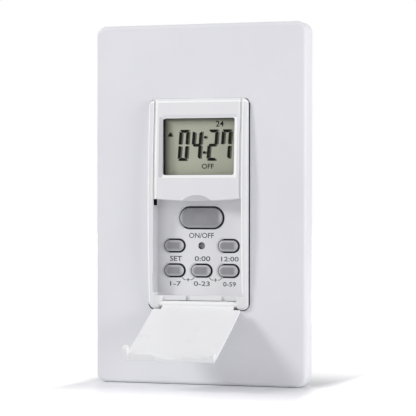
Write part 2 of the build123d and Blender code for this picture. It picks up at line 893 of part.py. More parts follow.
def power_board_screws():
    screws = []
    for x, z in power_screw_places:
        head_front = power_board_front - power_head_height
        head = slotted_head(power_head_radius, power_head_height, head_front, x, z)
        tip = power_board_front + power_screw_length
        screws.append(head + rod(power_screw_radius, power_board_front, tip, x, z))
    return Compound(screws)


def boxed_component(size, place):
    width, depth, height = size
    x, z = place
    body = block(x - width / 2, x + width / 2, power_board_back, power_board_back + depth,
                 z - height / 2, z + height / 2)
    return fillet(body.faces().sort_by(Axis.Y)[-1].edges(), component_round)


def can_component(radius, height, place):
    x, z = place
    body = rod(radius, power_board_back, power_board_back + height, x, z)
    return fillet(body.faces().sort_by(Axis.Y)[-1].edges(), cap_round)


def filter_capacitors():
    return Compound([can_component(main_cap_radius, main_cap_height, main_cap_place),
                     can_component(small_cap_radius, small_cap_height, small_cap_place)])


def varistor():
    x, z = varistor_place
    y = power_board_back + lead_rise + varistor_radius
    body = Pos(x, y, z) * Cylinder(varistor_radius, varistor_thickness)
    body = fillet(body.edges(), component_round)
    for side in (-1, 1):
        body += rod(lead_radius, power_board_back, y, x + side * lead_spread, z)
    return body


def choke():
    x, z = choke_place
    back = power_board_back
    body = rod(choke_radius, back, back + choke_rim, x, z)
    body += rod(choke_core_radius, back, back + choke_height, x, z)
    return body + rod(choke_radius, back + choke_height - choke_rim, back + choke_height, x, z)


def wire_terminals():
    posts = []
    for x, z in lead_hole_places:
        post = sheet(Pos(x, z) * Rectangle(terminal_side, terminal_side), power_board_back,
                     power_board_back + terminal_height)
        posts.append(post - rod(terminal_bore, power_board_back + terminal_side, rear_depth, x, z))
    return Compound(posts)


def battery_holder():
    x, z = cell_place
    rim = sheet_front + sheet_thickness
    cup = rod(cell_radius + holder_gap + holder_wall, rim, power_board_front, x, z)
    return cup - rod(cell_radius + holder_gap, rim - overrun, power_board_front - holder_base, x, z)


def backup_battery():
    x, z = cell_place
    back = power_board_front - holder_base
    cell = rod(cell_radius, back - cell_height, back, x, z)
    return fillet(cell.faces().sort_by(Axis.Y)[0].edges(), component_round)


def rear_housing():
    shell = sheet(RectangleRounded(rear_width, rear_height, rear_corner), 0, rear_depth)
    shell = chamfer(shell.faces().sort_by(Axis.Y)[-1].edges(), rear_edge)
    hollow = RectangleRounded(rear_width - 2 * rear_wall, rear_height - 2 * rear_wall,
                              rear_corner - rear_wall)
    shell -= sheet(hollow, -overrun, rear_inside)
    for x, z in corners(*housing_screw_place):
        shell += rod(post_radius, 0, rear_inside, x, z) & sheet(hollow, 0, rear_inside)
    for x, z in corners(rear_width / 2 - rear_wall - rear_rib_thickness / 2, rear_rib_place):
        rib = Pos(x, z) * Rectangle(rear_rib_thickness, rear_rib_width)
        shell += sheet(rib, power_board_back, rear_inside)
    for x, z in power_screw_places:
        shell += rod(power_boss_radius, power_board_back, rear_inside, x, z)
    for x, z in power_screw_places:
        shell -= rod(power_screw_radius + bore_gap / 2, 0, power_board_front + power_screw_length, x, z)
    # Screw bores with sunk heads, lead holes with collars, and cooling grooves
    for x, z in corners(*housing_screw_place):
        past = rear_depth + overrun
        shell -= rod(housing_screw_radius + bore_gap, -overrun, past, x, z)
        shell -= rod(housing_head_radius + bore_gap, rear_depth - housing_head_height, past, x, z)
    for x, z in lead_hole_places:
        collar_radius = lead_hole_radius + lead_collar_wall
        shell += rod(collar_radius, rear_inside, rear_depth + lead_collar_height, x, z)
    for x, z in lead_hole_places:
        shell -= rod(lead_hole_radius, rear_inside - overrun, rear_depth + overrun, x, z)
    for index in range(rear_groove_count):
        z = rear_groove_middle + (index - (rear_groove_count - 1) / 2) * rear_groove_pitch
        groove = Pos(0, z) * SlotOverall(rear_groove_length, rear_groove_width)
        shell -= sheet(groove, rear_depth - rear_groove_depth, rear_depth + overrun)
    return shell


def housing_screws():
    screws = []
    for x, z in corners(*housing_screw_place):
        head = cross_head(housing_head_radius, housing_head_height, rear_depth, x, z)
        shank = rod(housing_screw_radius, flange_front, rear_depth - housing_head_height, x, z)
        screws.append(head + shank)
    return Compound(screws)


def door_outline():
    """The closed door as seen from the front, from its shoulders to its free edge."""
    half = door_half_width
    top_middle = panel_edge_middle - door_gap
    top_sides = panel_edge_sides - door_gap
    upper = ThreePointArc((-half, top_sides), (0, top_middle), (half, top_sides))
    rest = Polyline((half, top_sides), (half, door_bottom), (-half, door_bottom), (-half, top_sides))
    outline = make_face([upper, rest])
    radius = ((door_lip_width / 2) ** 2 + door_lip_height ** 2) / (2 * door_lip_height)
    lip = Pos(0, top_middle + door_lip_height - radius) * Circle(radius)
    keep = Pos(0, top_middle) * Rectangle(door_lip_width, 2 * door_lip_height)
    return outline + (lip & keep)


def door():
    """The door, shaped closed and then swung open about its hinge."""
    back = axis_y + overrun
    outline = door_outline()
    skin = crowned(outline, back)
    skin = fillet(front_edges(skin), door_round)
    inside = crowned(outline, back, inset=door_skin)
    # Wall along the free edge, dipped at the finger lip and lower to the right of it
    inner_edge = Pos(0, -end_wall) * outline
    wall = inside - sheet(inner_edge, crown_middle - overrun, back)
    wall_band = Pos(0, panel_edge_sides) * Rectangle(2 * door_half_width, 2 * overrun)
    inner_face = crown_middle + door_skin
    wall &= sheet(wall_band, crown_middle, inner_face + end_wall_height)
    dip_radius = ((end_dip_width / 2) ** 2 + end_dip_depth ** 2) / (2 * end_dip_depth)
    dip = Pos(end_dip_place, inner_face + end_wall_height - end_dip_depth + dip_radius, panel_edge_middle)
    wall -= dip * Cylinder(dip_radius, 4 * overrun)
    wall -= block(end_dip_place, device_width, inner_face + low_wall_height, back, -overrun, overrun)
    leaf = (skin - inside) + wall
    # Corner posts: the left one carries the latch
    post_top = panel_edge_sides - door_gap
    for side, height in ((-1, left_post_height), (1, right_post_height)):
        inner = side * (door_half_width - post_width)
        outer = side * door_half_width
        leaf += block(min(inner, outer), max(inner, outer), inner_face - door_skin / 2, inner_face + height,
                      post_top - post_length, post_top)
    nub_middle = (latch_slot_bottom + latch_slot_top) / 2
    nub_back = inner_face + left_post_height
    leaf += block(-door_half_width - latch_nub, -door_half_width, nub_back - 2 * latch_nub_height,
                  nub_back - latch_nub_height, nub_middle - latch_nub_height / 2,
                  nub_middle + latch_nub_height / 2)
    # Neck, barrel, pins and the heels that stop the door
    neck = Pos(0, (axis_z + door_bottom) / 2) * Rectangle(2 * barrel_half_width, door_bottom - axis_z)
    leaf += crowned(neck, back) - crowned(neck, back, inset=door_skin)
    leaf += cross_rod(barrel_radius, -barrel_half_width, barrel_half_width, axis_y, axis_z)
    pin_end = hinge_half_width + pin_length
    leaf += cross_rod(pin_radius, -pin_end, pin_end, axis_y, axis_z)
    for x in heel_places:
        leaf += heel(x)
    return swing(leaf, open_angle)


def heel(x):
    """A short fin on the barrel that meets the sill when the door is fully open."""
    fin = block(x - heel_width / 2, x + heel_width / 2, axis_y - heel_wall / 2, axis_y + heel_wall / 2,
                axis_z, axis_z + heel_reach - stop_gap)
    rise = sill_bottom - axis_z
    lean = math.degrees(math.acos(rise / math.hypot(heel_reach, heel_wall / 2)))
    corner = math.degrees(math.atan2(heel_wall / 2, heel_reach))
    return swing(fin, -open_angle - lean - corner)


def swing(solid, angle):
    """Turns a solid about the door's hinge; a positive angle opens the door."""
    hinge = Pos(0, axis_y, axis_z)
    return hinge * Rot(angle, 0, 0) * hinge.inverse() * solid


def save(solid, name):
    export_step(solid, f"parts/{name}.step")


os.makedirs("parts", exist_ok=True)

save(wall_plate(), "wall_plate")
save(plate_frame(), "plate_frame")
save(plate_screws(), "plate_screws")
save(mounting_strap(), "mounting_strap")
save(box_screws(), "box_screws")
save(screw_washers(), "screw_washers")
save(ground_screw(), "ground_screw")
save(front_housing(), "front_housing")
save(display_panel(), "display_panel")
save(lcd_window(), "lcd_window")
save(lcd_glass(), "lcd_glass")
save(lcd_frame(), "lcd_frame")
save(zebra_strips(), "zebra_strips")
save(display_board(), "display_board")
save(board_screws(), "board_screws")
save(controller_chip(), "controller_chip")
save(clock_crystal(), "clock_crystal")
save(keypad_mat(), "keypad_mat")
save(pin_header(), "pin_header")
save(insulator_sheet(), "insulator_sheet")
save(rear_housing(), "rear_housing")
save(housing_screws(), "housing_screws")
save(power_board(), "power_board")
save(power_board_screws(), "power_board_screws")
save(boxed_component(relay_size, relay_place), "relay")
save(boxed_component(film_size, film_place), "film_capacitor")
save(filter_capacitors(), "filter_capacitors")
save(varistor(), "varistor")
save(choke(), "choke")
save(wire_terminals(), "wire_terminals")
save(battery_holder(), "battery_holder")
save(backup_battery(), "backup_battery")
save(key(big_key_outline(0), big_key_outline(key_flange), key_top, key_round), "manual_key")
for name, place in key_places.items():
    save(key(small_key_outline(place, 0), small_key_outline(place, key_flange), key_top, key_round), name)
save(key(reset_outline(0), reset_outline(reset_flange), reset_top, reset_round), "reset_key")
save(door(), "door")
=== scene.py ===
import bpy
import bmesh
import math
from mathutils import Matrix, Vector


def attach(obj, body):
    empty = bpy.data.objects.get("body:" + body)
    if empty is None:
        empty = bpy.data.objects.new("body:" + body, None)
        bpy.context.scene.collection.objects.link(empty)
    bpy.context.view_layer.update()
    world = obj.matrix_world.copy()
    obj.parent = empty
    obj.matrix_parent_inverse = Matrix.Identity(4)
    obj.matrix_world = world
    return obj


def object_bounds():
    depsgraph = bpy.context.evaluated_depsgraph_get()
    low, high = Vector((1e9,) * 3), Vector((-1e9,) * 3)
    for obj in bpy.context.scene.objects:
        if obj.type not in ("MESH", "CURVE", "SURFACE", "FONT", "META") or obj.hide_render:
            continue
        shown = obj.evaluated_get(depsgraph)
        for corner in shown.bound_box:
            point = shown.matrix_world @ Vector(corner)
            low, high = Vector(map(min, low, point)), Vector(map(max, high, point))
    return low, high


# Timer light switch: finishes, printing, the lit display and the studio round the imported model.
# Places and sizes in the dictionaries are in mm: x to the right, z up, the front faces -y.
# A texture is given as its noise scale, its detail and, where it isn't 0.5, its roughness.
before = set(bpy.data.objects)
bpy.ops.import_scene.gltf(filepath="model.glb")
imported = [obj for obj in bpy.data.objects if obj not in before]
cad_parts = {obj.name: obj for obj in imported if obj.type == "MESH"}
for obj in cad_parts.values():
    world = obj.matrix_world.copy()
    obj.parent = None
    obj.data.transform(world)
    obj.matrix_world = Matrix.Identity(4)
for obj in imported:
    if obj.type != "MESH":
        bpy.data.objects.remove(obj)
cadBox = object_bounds()
scene = bpy.context.scene
mm = 0.001
print("loaded", len(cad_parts), "nodes")


# Camera

view = {
    "place": (182.5, -564.4, -1.0),
    "turn": 17.87,  # degrees, to the left of straight at the plate
    "tip": -0.02,
    "roll": 0.08,
    "lens": 160.3,
    "sensor": 36,
    "clip": (0.01, 20),  # metres
}


def setCamera():
    data = bpy.data.cameras.new("viewCamera")
    data.sensor_width = view["sensor"]
    data.lens = view["lens"]
    data.clip_start, data.clip_end = view["clip"]
    camera = bpy.data.objects.new("viewCamera", data)
    scene.collection.objects.link(camera)
    turn = Matrix.Rotation(math.radians(view["turn"]), 4, "Z")
    tip = Matrix.Rotation(math.radians(90 + view["tip"]), 4, "X")
    roll = Matrix.Rotation(math.radians(view["roll"]), 4, "Z")
    place = Matrix.Translation([n * mm for n in view["place"]])
    camera.matrix_world = place @ turn @ tip @ roll
    scene.camera = camera


setCamera()
print("camera set")


# Shader helpers

def tone(red, green, blue, alpha=1.0):
    # a colour given as it looks on screen, 0 to 255
    def linear(n):
        n /= 255
        return n / 12.92 if n <= 0.04045 else ((n + 0.055) / 1.055) ** 2.4
    return (linear(red), linear(green), linear(blue), alpha)


class Value:
    # one output of a node; arithmetic on it adds the Math nodes
    def __init__(self, finish, output):
        self.finish = finish
        self.output = output

    def __add__(self, other):
        return self.finish.maths("ADD", self, other)

    def __radd__(self, other):
        return self.finish.maths("ADD", other, self)

    def __sub__(self, other):
        return self.finish.maths("SUBTRACT", self, other)

    def __rsub__(self, other):
        return self.finish.maths("SUBTRACT", other, self)

    def __mul__(self, other):
        return self.finish.maths("MULTIPLY", self, other)

    def __rmul__(self, other):
        return self.finish.maths("MULTIPLY", other, self)

    def __gt__(self, other):
        return self.finish.maths("GREATER_THAN", self, other)

    def __lt__(self, other):
        return self.finish.maths("LESS_THAN", self, other)

    def __abs__(self):
        return self.finish.maths("ABSOLUTE", self)


class Finish:
    # one node tree: a new material's, or the tree that is given
    def __init__(self, name, tree=None, end="ShaderNodeOutputMaterial"):
        if tree is None:
            self.material = bpy.data.materials.new(name)
            self.material.use_nodes = True
            tree = self.material.node_tree
        self.tree = tree
        self.tree.nodes.clear()
        self.output = self.tree.nodes.new(end)

    def fill(self, socket, value):
        if isinstance(value, Value):
            self.tree.links.new(value.output, socket)
        else:
            socket.default_value = value

    def add(self, kind, settings=None, sockets=None, out=0):
        # any node: its settings first, then its sockets by name or number
        node = self.tree.nodes.new(kind)
        for key, value in (settings or {}).items():
            setattr(node, key, value)
        for key, value in (sockets or {}).items():
            if isinstance(key, int):
                self.fill(node.inputs[key], value)
            else:
                self.fill(next(s for s in node.inputs if s.name == key and s.enabled), value)
        if isinstance(out, int):
            return Value(self, node.outputs[out])
        return Value(self, next(s for s in node.outputs if s.name == out and s.enabled))

    def maths(self, operation, *values):
        return self.add("ShaderNodeMath", {"operation": operation}, dict(enumerate(values)))

    def larger(self, first, second):
        return self.maths("MAXIMUM", first, second)

    def mix(self, amount, first, second):
        return self.add("ShaderNodeMix", {"data_type": "RGBA", "blend_type": "MIX"},
                        {"Factor": amount, "A": first, "B": second}, "Result")

    def spot(self):
        # place on the piece, in metres
        return self.add("ShaderNodeTexCoord", out="Object")

    def parts(self, vector):
        node = self.add("ShaderNodeSeparateXYZ", sockets={0: vector}).output.node
        return [Value(self, node.outputs[n]) for n in range(3)]

    def stretch(self, vector, scale):
        return self.add("ShaderNodeVectorMath", {"operation": "MULTIPLY"}, {0: vector, 1: scale})

    def noise(self, vector, scale, detail=2.0, roughness=0.5):
        return self.add("ShaderNodeTexNoise", out="Fac", sockets={
            "Vector": vector, "Scale": scale, "Detail": detail, "Roughness": roughness})

    def ramp(self, value, low, high):
        return self.add("ShaderNodeMapRange", {"interpolation_type": "SMOOTHSTEP"},
                        {"Value": value, "From Min": low, "From Max": high})

    def bump(self, height, strength, distance):
        return self.add("ShaderNodeBump", sockets={
            "Height": height, "Strength": strength, "Distance": distance})

    def surface(self, **sockets):
        # the main shader; names are the sockets' names with no spaces
        node = self.tree.nodes.new("ShaderNodeBsdfPrincipled")
        plain = {s.name.replace(" ", ""): s for s in node.inputs}
        for key, value in sockets.items():
            self.fill(plain[key], value)
        self.show(Value(self, node.outputs[0]))

    def show(self, shader):
        self.tree.links.new(shader.output, self.output.inputs[0])


def paint(finish, *names):
    # gives nodes of the model their finish
    for name in names:
        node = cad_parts[name]
        if not node.material_slots:
            node.data.materials.append(finish.material)
        for place in node.material_slots:
            place.material = finish.material


def boxMask(finish, spot, low, high):
    mask = 1.0
    for value, start, end in zip(finish.parts(spot), low, high):
        mask = mask * (value > start * mm) * (value < end * mm)
    return mask


def outlineGap(finish, spot, centre, half, corner):
    # how far a place lies outside a rounded outline, metres; less than 0 inside
    x, y, z = finish.parts(spot)
    aside = finish.larger(abs(x - centre[0] * mm) - (half[0] - corner) * mm, 0.0)
    above = finish.larger(abs(z - centre[1] * mm) - (half[1] - corner) * mm, 0.0)
    return finish.maths("SQRT", aside * aside + above * above) - corner * mm


# White mouldings

# painted shade for the narrow gaps and holes that no light reaches
paintedGapShade = tone(36, 36, 38)

# centre, half sizes, and how strong the painted sheen on the rim is; the ends are round
keyShapes = {
    "manual_key": ((0.0, -4.32), (7.23, 3.3), 0.35),
    "prog_key": ((-9.0, -13.2), (3.32, 1.88), 0.75),
    "clock_key": ((9.0, -13.2), (3.32, 1.88), 0.9),
    "day_key": ((-9.0, -21.1), (3.32, 1.88), 0.75),
    "hour_key": ((0.0, -21.1), (3.32, 1.88), 0.8),
    "minute_key": ((9.0, -21.1), (3.32, 1.88), 0.9),
}

# painted shade in and round the gap of each key, dark but for its left end, where a softer grey shade
# fades onto the floor
paintedKeyShade = {
    "reach": 0.4,
    "left": 1.3,  # where the dark starts, from the key's left end
    "front": -4.95,
    "tone": tone(16, 16, 18),
    "soft": tone(132, 132, 136),
    "softReach": (1.1, 0.2),
    "softAmount": 0.5,
}

# the recess's floor, which falls into the left wall's shade
floorShade = {
    "front": -5.05,
    "back": -4.7,
    "low": -28.3,
    "high": 1.0,
    "left": -14.8,
    "fade": (-15.2, -10.5),
    "amount": 0.26,
    "tone": tone(120, 120, 124),
}

# painted shade: a dark band on the plate's face round the device's lower left corner
cornerPaintedShade = {
    "half": (16.5, 33.25),
    "corner": 2.0,
    "reach": 0.55,
    "right": -14.3,
    "top": -31.8,
}


def holeShade(finish, spot, colour):
    x, y, z = finish.parts(spot)
    for centre, half, _ in keyShapes.values():
        gap = outlineGap(finish, spot, centre, half, half[1])
        edge = (centre[0] - half[0] + paintedKeyShade["left"]) * mm
        near, far = [n * mm for n in paintedKeyShade["softReach"]]
        # painted shade: a soft grey on the floor round the key's left end
        soft = finish.ramp(gap, near, far) * (x < edge) * (y < floorShade["back"] * mm)
        colour = finish.mix(soft * paintedKeyShade["softAmount"], colour, paintedKeyShade["soft"])
        # painted shade: dark in and round the gap, right of the key's left end
        dark = (gap < paintedKeyShade["reach"] * mm) * (x > edge) * (y > paintedKeyShade["front"] * mm)
        colour = finish.mix(dark, colour, paintedKeyShade["tone"])
    start, end = [n * mm for n in floorShade["fade"]]
    side = 1.0 - finish.ramp(x, start, end)
    floor = (y > floorShade["front"] * mm) * (y < floorShade["back"] * mm)
    floor = floor * (z > floorShade["low"] * mm) * (z < floorShade["high"] * mm)
    floor = floor * (x > floorShade["left"] * mm)
    return finish.mix(side * floor * floorShade["amount"], colour, floorShade["tone"])


def cornerShade(finish, spot, colour):
    # painted shade in a band round the device's lower left corner
    x, y, z = finish.parts(spot)
    gap = outlineGap(finish, spot, (0.0, 0.0), cornerPaintedShade["half"], cornerPaintedShade["corner"])
    corner = (x < cornerPaintedShade["right"] * mm) * (z < cornerPaintedShade["top"] * mm)
    return finish.mix((gap < cornerPaintedShade["reach"] * mm) * corner, colour, paintedGapShade)


# dark: boxes of painted shade, where a moulding lies in a gap or a hole that no light reaches
# tinted boxes hold painted highlights and painted shade, such as the bright edges; the last one that holds
# a place wins
whitePlastics = {
    "plate": {
        "nodes": ["wall_plate"],
        "colour": tone(233, 233, 237),
        "deep": tone(228, 228, 233),
        "gloss": 0.36,
        "grain": 0.05,
        # painted shade on the walls of the plate's opening
        "dark": {"opening": ((-17.3, -7.2, -34.1), (17.3, 0.0, 33.2))},
        "extra": cornerShade,
    },
    "housing": {
        "nodes": ["front_housing"],
        "colour": tone(235, 235, 237),
        "deep": tone(229, 229, 232),
        "gloss": 0.34,
        "grain": 0.05,
        # painted highlights on the outer edges, the rails and the top edge; painted shade on the right
        # outer edge, the right flank and the recess's left wall
        "tints": {
            "left outer edge": ((-17.0, -11.0, -31.0), (-15.95, -7.6, 33.0), tone(255, 255, 255)),
            "right rail": ((14.6, -11.0, -28.0), (15.05, -6.0, 33.0), tone(255, 255, 255)),
            "left rail": ((-14.8, -11.0, 1.7), (-14.4, -6.0, 33.0), tone(255, 255, 255)),
            "top edge": ((-17.0, -11.0, 32.15), (17.0, -7.6, 32.7), tone(252, 252, 252)),
            "right outer edge": ((16.1, -11.0, -33.0), (17.0, -7.95, 32.0), tone(220, 220, 223)),
            "right flank": ((16.4, -7.95, -33.5), (17.0, -7.3, 32.4), tone(84, 84, 88)),
            "recess's left wall": ((-14.9, -9.7, -28.0), (-14.5, -4.95, -0.5), tone(202, 202, 206)),
        },
        # painted shade in the latch slot, in the gaps round the device and in the reset hole
        "dark": {
            "latch slot": ((-16.3, -9.2, -0.5), (-14.75, -5.6, 1.7)),
            "right gap": ((16.45, -7.4, -36.0), (22.0, -3.0, 32.6)),
            "left gap": ((-22.0, -7.4, -36.0), (-16.45, -3.0, 33.0)),
            "lower gap": ((-22.0, -7.6, -36.0), (22.0, -3.0, -33.2)),
            "reset hole": ((-1.1, -4.7, -14.3), (1.1, -3.5, -12.1)),
        },
        "extra": holeShade,
    },
    "panel": {
        "nodes": ["display_panel"],
        "colour": tone(235, 235, 237),
        "deep": tone(230, 230, 233),
        "gloss": 0.32,
        "grain": 0.05,
        # painted highlights on the panel's left and top edges and on the window's right border, lower
        # border and upper slope; painted shade on its left and upper border
        "tints": {
            "left edge": ((-14.3, -11.0, 0.0), (-13.35, -6.0, 33.0), tone(255, 255, 255)),
            "top edge": ((-15.0, -11.0, 32.15), (15.0, -7.6, 32.7), tone(252, 252, 252)),
            "left border": ((-12.7, -11.0, 8.5), (-11.4, -7.0, 27.6), tone(206, 206, 210)),
            "upper border": ((-11.9, -11.0, 27.3), (13.0, -7.0, 28.3), tone(224, 224, 228)),
            "right border": ((12.25, -11.0, 8.6), (13.1, -7.0, 27.3), tone(255, 255, 255)),
            "lower border": ((-11.4, -11.0, 8.3), (13.0, -7.0, 9.25), tone(250, 250, 250)),
            "upper slope": ((-11.4, -11.0, 26.9), (12.3, -7.0, 27.3), tone(252, 252, 252)),
        },
        # painted shade on the window's walls
        "dark": {"window's walls": ((-11.8, -9.15, 9.15), (12.35, -6.0, 26.95))},
    },
    "door": {
        "nodes": ["door"],
        "colour": tone(247, 247, 248),
        "deep": tone(243, 243, 244),
        "gloss": 0.3,
        "grain": 0.04,
    },
    "subPlate": {
        "nodes": ["plate_frame"],
        "colour": tone(226, 226, 226),
        "deep": tone(218, 218, 219),
        "gloss": 0.5,
        "grain": 0.16,
    },
    "innerPlastic": {
        "nodes": ["lcd_frame", "battery_holder"],
        "colour": tone(228, 226, 220),
        "deep": tone(219, 217, 210),
        "gloss": 0.5,
        "grain": 0.14,
        # painted shade on the frame behind the window
        "dark": {"behind the window": ((-13.0, -9.2, 8.0), (13.8, -5.9, 28.4))},
    },
}

# what all the white mouldings share
mouldTexture = {
    "cloud": (45, 3),
    "cloudRange": (0.3, 0.7),
    "flow": (220, 2),
    "flowStretch": (1, 1, 0.25),
    "pores": (3200, 2, 0.6),
    "specular": 0.45,
    "bumpDepth": 0.00004,  # metres
}


def whiteFinish(name, look):
    finish = Finish(name)
    spot = finish.spot()
    cloud = finish.ramp(finish.noise(spot, *mouldTexture["cloud"]), *mouldTexture["cloudRange"])
    flow = finish.noise(finish.stretch(spot, mouldTexture["flowStretch"]), *mouldTexture["flow"])
    pores = finish.noise(spot, *mouldTexture["pores"])
    colour = finish.mix(cloud * 0.6 + flow * 0.25, look["colour"], look["deep"])
    # painted highlights and painted shade in the tinted boxes
    for low, high, shade in look.get("tints", {}).values():
        colour = finish.mix(boxMask(finish, spot, low, high), colour, shade)
    # painted shade in the dark boxes
    for low, high in look.get("dark", {}).values():
        colour = finish.mix(boxMask(finish, spot, low, high), colour, paintedGapShade)
    if "extra" in look:
        colour = look["extra"](finish, spot, colour)
    finish.surface(BaseColor=colour,
                   Roughness=look["gloss"] + (flow - 0.5) * 0.1 + (pores - 0.5) * 0.08,
                   SpecularIORLevel=mouldTexture["specular"],
                   Normal=finish.bump(pores + flow * 1.5, look["grain"], mouldTexture["bumpDepth"]))
    return finish


for name, look in whitePlastics.items():
    paint(whiteFinish(name, look), *look["nodes"])
print("white mouldings done")


# Keys

keyLook = {
    "colour": tone(142, 142, 146),
    "worn": tone(150, 150, 154),
    # painted sheen toward the rim, strongest at the two ends
    "rim": tone(214, 214, 217),
    "shade": tone(20, 20, 22),
    "rimFade": (-1.1, -0.1),  # outside the outline
    "rightFade": (-1.9, -0.1),  # from the right end
    "rightWear": 0.95,
    "leftFade": (1.6, 0.0),  # from the left end
    "leftWear": 0.6,
    "wall": -5.3,  # the sides are in the dark behind this depth
    "wallStart": 1.2,  # and right of this, from the left end
    "gloss": 0.4,
    "specular": 0.4,
    "cloud": (260, 3),
    "cloudRange": (0.35, 0.65),
    "grain": (5200, 3, 0.65),
    "bumpDepth": 0.00004,  # metres
}


def keyFinish(name, shape=None):
    finish = Finish(name)
    spot = finish.spot()
    cloud = finish.ramp(finish.noise(spot, *keyLook["cloud"]), *keyLook["cloudRange"])
    grain = finish.noise(spot, *keyLook["grain"])
    colour = finish.mix(cloud * 0.7, keyLook["colour"], keyLook["worn"])
    if shape:
        # painted sheen: lighter toward the rim, most of all at the two ends
        centre, half, rimSheen = shape
        leftEnd, rightEnd = centre[0] - half[0], centre[0] + half[0]
        x, y, z = finish.parts(spot)
        gap = outlineGap(finish, spot, centre, half, half[1])
        rim = finish.ramp(gap, *[n * mm for n in keyLook["rimFade"]]) * rimSheen
        right = finish.ramp(x, *[(rightEnd + n) * mm for n in keyLook["rightFade"]]) * keyLook["rightWear"]
        left = finish.ramp(x, *[(leftEnd + n) * mm for n in keyLook["leftFade"]]) * keyLook["leftWear"]
        worn = finish.larger(finish.larger(rim, right), left)
        colour = finish.mix(worn, colour, keyLook["rim"])
        # painted shade on the key's sides, right of its left end
        dark = (y > keyLook["wall"] * mm) * (x > (leftEnd + keyLook["wallStart"]) * mm)
        colour = finish.mix(dark, colour, keyLook["shade"])
    finish.surface(BaseColor=colour, Roughness=keyLook["gloss"] + (grain - 0.5) * 0.2,
                   SpecularIORLevel=keyLook["specular"],
                   Normal=finish.bump(grain, 0.2, keyLook["bumpDepth"]))
    return finish


for name, shape in keyShapes.items():
    paint(keyFinish(name + "Rubber", shape), name)
paint(keyFinish("keyRubber"), "reset_key", "keypad_mat")
print("keys done")


# Display: clear window, glass with painted shade at its edges, and the striped connectors behind it

displayLook = {
    "centre": (0.4, 18.2),
    "window": (23.8, 18.0),
    "glass": tone(188, 191, 173),
    "glassEdge": tone(184, 187, 169),
    "edgeRange": (9.0, 27.0),
    "speck": tone(128, 130, 114),
    "speckAmount": 0.14,
    "speckNoise": (6500, 2, 0.7),
    # painted shade round the glass's edges inside the window
    "seal": tone(26, 27, 26),
    "sealInset": -0.25,
    "sealFade": 0.3,
    # painted shadow on the glass's left and top, where the window's walls keep the light off
    "leftFall": (-9.2, -11.6),  # the window's walls keep light from the left and the top
    "leftAmount": 0.62,
    "topFall": (25.8, 26.9),
    "topAmount": 0.6,
    "gloss": 0.42,
    "specular": 0.15,
    "bumpDepth": 0.00002,  # metres
}


def glassFinish():
    look = displayLook
    finish = Finish("lcdGlass")
    spot = finish.spot()
    x, y, z = finish.parts(spot)
    halfWidth, halfHeight = [(n / 2 + look["sealInset"]) * mm for n in look["window"]]
    fade = look["sealFade"] * mm
    side = finish.ramp(abs(x - look["centre"][0] * mm), halfWidth, halfWidth + fade)
    end = finish.ramp(abs(z - look["centre"][1] * mm), halfHeight, halfHeight + fade)
    leftFall = finish.ramp(x, *[n * mm for n in look["leftFall"]]) * look["leftAmount"]
    topFall = finish.ramp(z, *[n * mm for n in look["topFall"]]) * look["topAmount"]
    # painted shade at the edges and painted shadow from the left and top walls
    seal = finish.larger(finish.larger(side, end), finish.larger(leftFall, topFall))
    speck = finish.noise(spot, *look["speckNoise"])
    rise = finish.ramp(z, *[n * mm for n in look["edgeRange"]])
    body = finish.mix(rise, look["glass"], look["glassEdge"])
    body = finish.mix(speck * look["speckAmount"], body, look["speck"])
    finish.surface(BaseColor=finish.mix(seal, body, look["seal"]), Roughness=look["gloss"] + speck * 0.12,
                   SpecularIORLevel=look["specular"], Normal=finish.bump(speck, 0.06, look["bumpDepth"]))
    return finish


windowLook = {"colour": (0.02, 0.02, 0.02, 1.0), "alpha": 0.02, "gloss": 0.06, "specular": 0.3,
              "haze": (900, 2)}


def windowFinish():
    finish = Finish("clearWindow")
    haze = finish.noise(finish.spot(), *windowLook["haze"])
    finish.surface(BaseColor=windowLook["colour"], Roughness=windowLook["gloss"] + haze * 0.03,
                   Alpha=windowLook["alpha"] + haze * 0.01, SpecularIORLevel=windowLook["specular"])
    return finish


stripLook = {"pitch": 0.4, "rubber": tone(46, 46, 50), "stripe": tone(196, 170, 168), "gloss": 0.6}


def stripFinish():
    finish = Finish("zebraStrip")
    x, y, z = finish.parts(finish.spot())
    stripe = finish.maths("SINE", x * (2 * math.pi / (stripLook["pitch"] * mm))) > 0
    finish.surface(BaseColor=finish.mix(stripe, stripLook["rubber"], stripLook["stripe"]),
                   Roughness=stripLook["gloss"])
    return finish


glass = glassFinish()
paint(glass, "lcd_glass")
paint(windowFinish(), "lcd_window")
paint(stripFinish(), "zebra_strips")
print("display done")


# Metals

metals = {
    "strapZinc": {
        "nodes": ["mounting_strap"],
        "colour": tone(190, 192, 192),
        "dull": tone(164, 165, 160),
        "gloss": 0.34,
        "run": (1, 1, 22),  # how the brushing is stretched
    },
    "steel": {
        "nodes": ["plate_screws", "box_screws", "board_screws", "housing_screws",
                  "power_board_screws", "clock_crystal", "backup_battery"],
        "colour": tone(186, 186, 186),
        "dull": tone(158, 158, 160),
        "gloss": 0.26,
        "run": (4, 4, 4),
    },
    "brass": {
        "nodes": ["wire_terminals"],
        "colour": tone(206, 176, 104),
        "dull": tone(170, 138, 74),
        "gloss": 0.3,
        "run": (4, 1, 4),
    },
}

metalTexture = {
    "brush": (900, 3, 0.6),
    "bloom": (130, 3),
    "bloomRange": (0.35, 0.7),
    "bumpDepth": 0.00003,  # metres
}


def metalFinish(name, look):
    finish = Finish(name)
    spot = finish.spot()
    brush = finish.noise(finish.stretch(spot, look["run"]), *metalTexture["brush"])
    bloom = finish.ramp(finish.noise(spot, *metalTexture["bloom"]), *metalTexture["bloomRange"])
    finish.surface(BaseColor=finish.mix(bloom * 0.6 + brush * 0.3, look["colour"], look["dull"]),
                   Metallic=1.0, Roughness=look["gloss"] + (brush - 0.5) * 0.2 + bloom * 0.1,
                   Normal=finish.bump(brush, 0.12, metalTexture["bumpDepth"]))
    return finish


for name, look in metals.items():
    paint(metalFinish(name, look), *look["nodes"])

